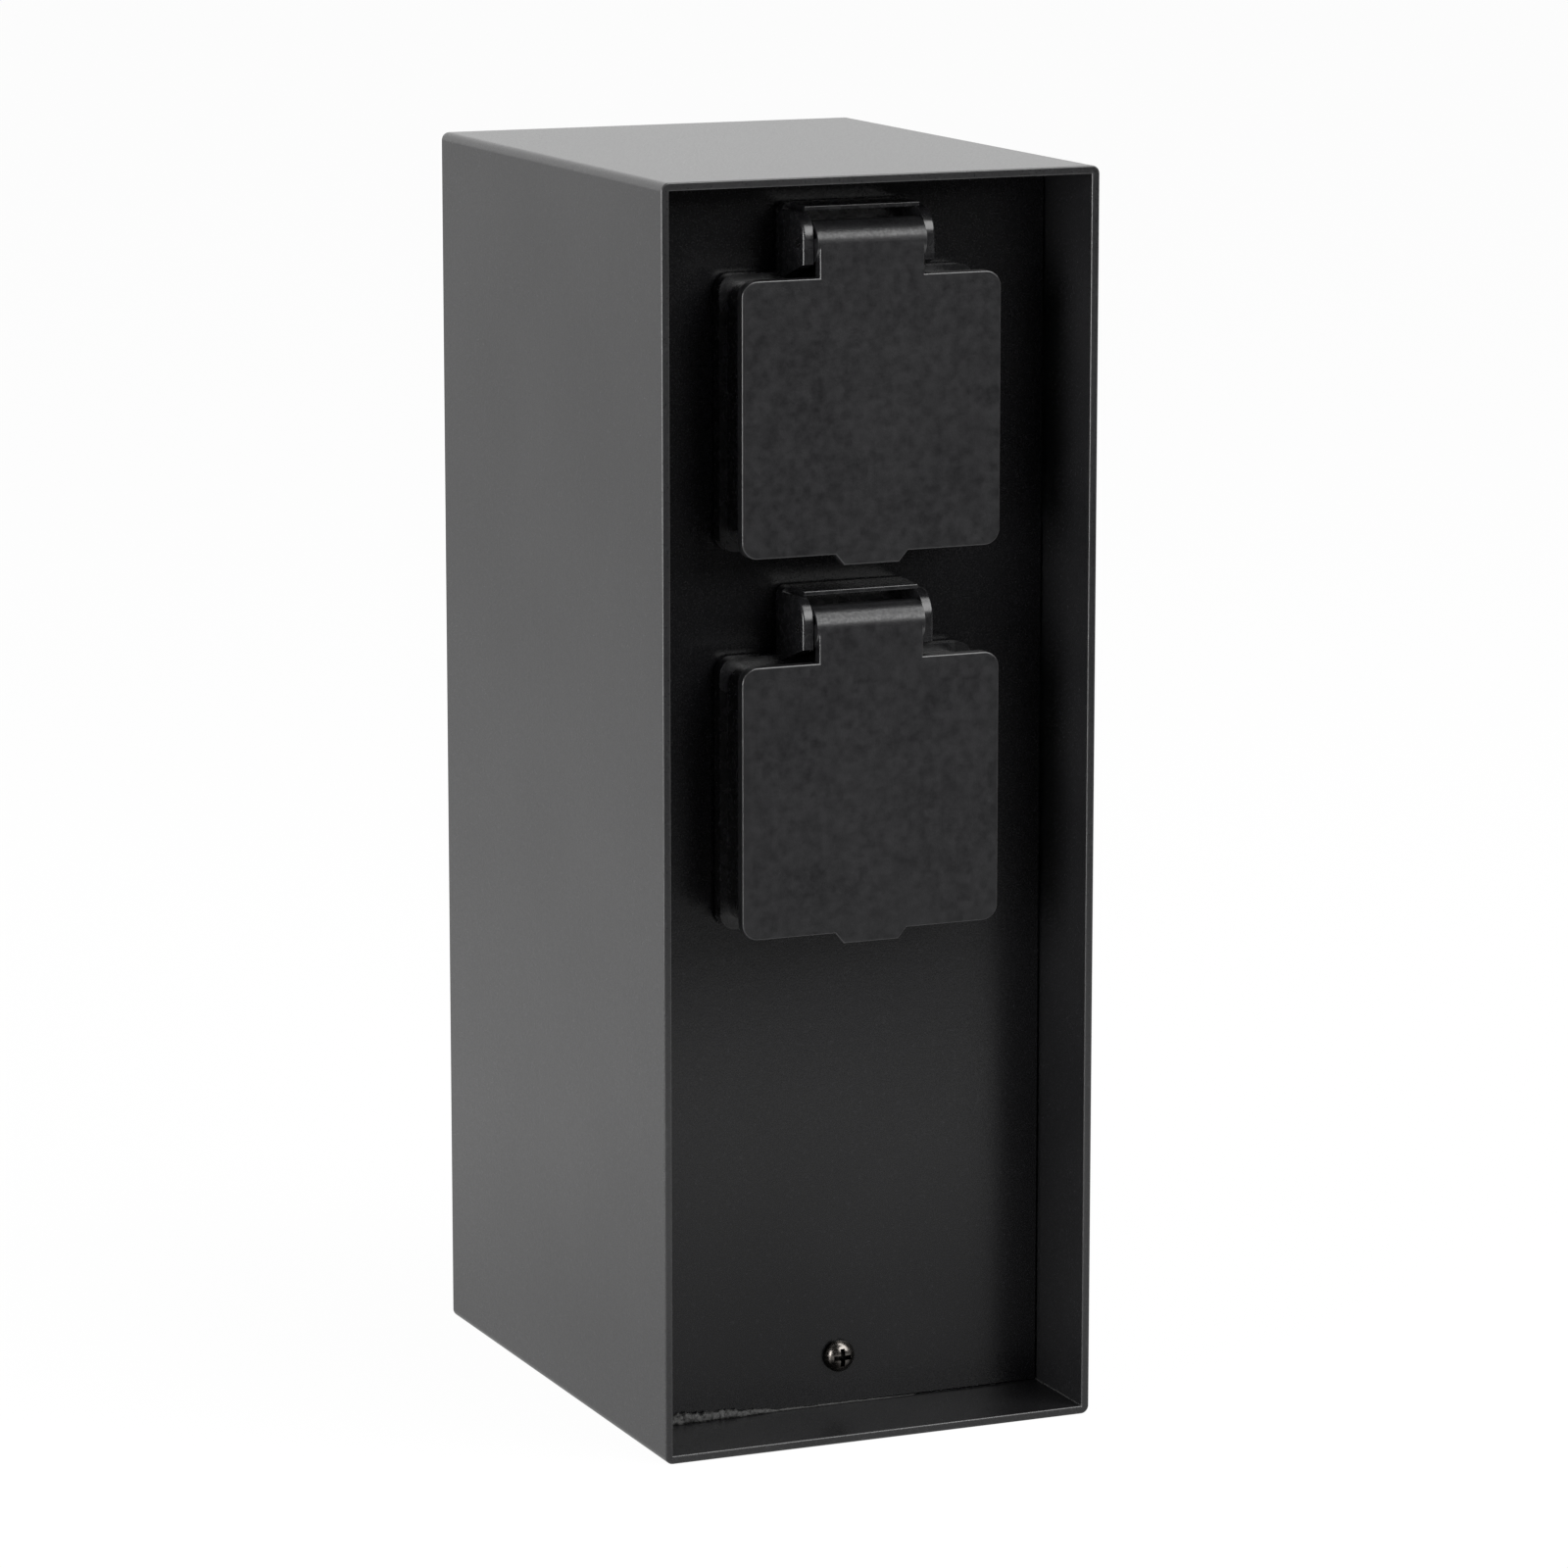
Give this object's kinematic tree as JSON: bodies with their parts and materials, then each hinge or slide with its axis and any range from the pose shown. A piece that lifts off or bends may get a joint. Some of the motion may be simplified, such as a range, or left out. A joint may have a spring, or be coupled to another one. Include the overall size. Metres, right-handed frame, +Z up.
{
  "type": "garden socket post",
  "caption": "Low rectangular post for the garden with a recessed panel of outdoor sockets, each under a sprung flap lid on a hinge.",
  "frame": {"origin": "middle of the underside, on the surface that the post stands on", "axes": "+Z up, the sockets face -Y, +X to the right of someone who faces the sockets"},
  "size_m": [0.085, 0.11, 0.232],
  "materials": {
    "housing_coat": "fine-textured matte black powder coat on aluminium",
    "panel_coat": "matte black powder coat on aluminium sheet",
    "zinc_plate": "zinc-plated steel sheet",
    "dark_screws": "blackened steel, slightly oily",
    "zinc_screws": "zinc-plated steel",
    "gland_plastic": "moulded black polyamide",
    "seal_rubber": "soft black rubber",
    "terminal_plastic": "pale moulded terminal plastic",
    "contact_brass": "bright rolled brass",
    "tinned_copper": "tinned copper, satin",
    "frame_plastic": "moulded black plastic, satin gloss",
    "insert_plastic": "moulded black plastic, dull",
    "lid_plastic": "moulded charcoal plastic with a fine grain",
    "pin_steel": "drawn stainless pin",
    "spring_steel": "stainless spring wire",
    "line_wire_skin": "brown wire insulation",
    "neutral_wire_skin": "blue wire insulation",
    "earth_wire_skin": "green and yellow wire insulation"
  },
  "bodies": {
    "post": {"base_plate": "zinc_plate", "earth_bonding_wire": "earth_wire_skin", "earth_fasteners": "zinc_screws", "earth_stud": "zinc_screws", "front_panel": "panel_coat", "gland_body": "gland_plastic", "gland_cap": "gland_plastic", "gland_seal": "seal_rubber", "housing_tube": "housing_coat", "lower_block_screws": "zinc_screws", "lower_clamp_screws": "zinc_screws", "lower_contact_block": "insert_plastic", "lower_earth_clip": "contact_brass", "lower_earth_wire": "earth_wire_skin", "lower_flange_gasket": "seal_rubber", "lower_flange_nuts": "zinc_screws", "lower_flange_screws": "zinc_screws", "lower_hinge_pin": "pin_steel", "lower_lid_spring": "spring_steel", "lower_line_contact": "contact_brass", "lower_line_wire": "line_wire_skin", "lower_neutral_contact": "contact_brass", "lower_neutral_wire": "neutral_wire_skin", "lower_socket_frame": "frame_plastic", "lower_socket_insert": "insert_plastic", "panel_hooks": "zinc_plate", "panel_screws": "dark_screws", "rear_panel": "panel_coat", "ring_terminal": "tinned_copper", "terminal_block": "terminal_plastic", "terminal_clamp_screws": "zinc_screws", "terminal_fixing_screws": "zinc_screws", "terminal_sleeves": "contact_brass", "top_plate": "zinc_plate", "upper_block_screws": "zinc_screws", "upper_clamp_screws": "zinc_screws", "upper_contact_block": "insert_plastic", "upper_earth_clip": "contact_brass", "upper_earth_wire": "earth_wire_skin", "upper_flange_gasket": "seal_rubber", "upper_flange_nuts": "zinc_screws", "upper_flange_screws": "zinc_screws", "upper_hinge_pin": "pin_steel", "upper_lid_spring": "spring_steel", "upper_line_contact": "contact_brass", "upper_line_wire": "line_wire_skin", "upper_neutral_contact": "contact_brass", "upper_neutral_wire": "neutral_wire_skin", "upper_socket_frame": "frame_plastic", "upper_socket_insert": "insert_plastic"},
    "upper_flap": {"upper_lid": "lid_plastic", "upper_lid_seal": "seal_rubber"},
    "lower_flap": {"lower_lid": "lid_plastic", "lower_lid_seal": "seal_rubber"}
  },
  "joints": [
    {"name": "upper_lid_hinge", "type": "hinge", "parent": "post", "child": "upper_flap", "pos_m": [0, -0.0465, 0.21955], "axis": [-1, 0, 0], "range_deg": [0, 105], "stiffness_Nm_per_rad": 0.012, "springref_deg": -45.84, "deforming": ["upper_lid_spring"]},
    {"name": "lower_lid_hinge", "type": "hinge", "parent": "post", "child": "lower_flap", "pos_m": [0, -0.0465, 0.15025], "axis": [-1, 0, 0], "range_deg": [0, 105], "stiffness_Nm_per_rad": 0.012, "springref_deg": -45.84, "deforming": ["lower_lid_spring"]}
  ]
}
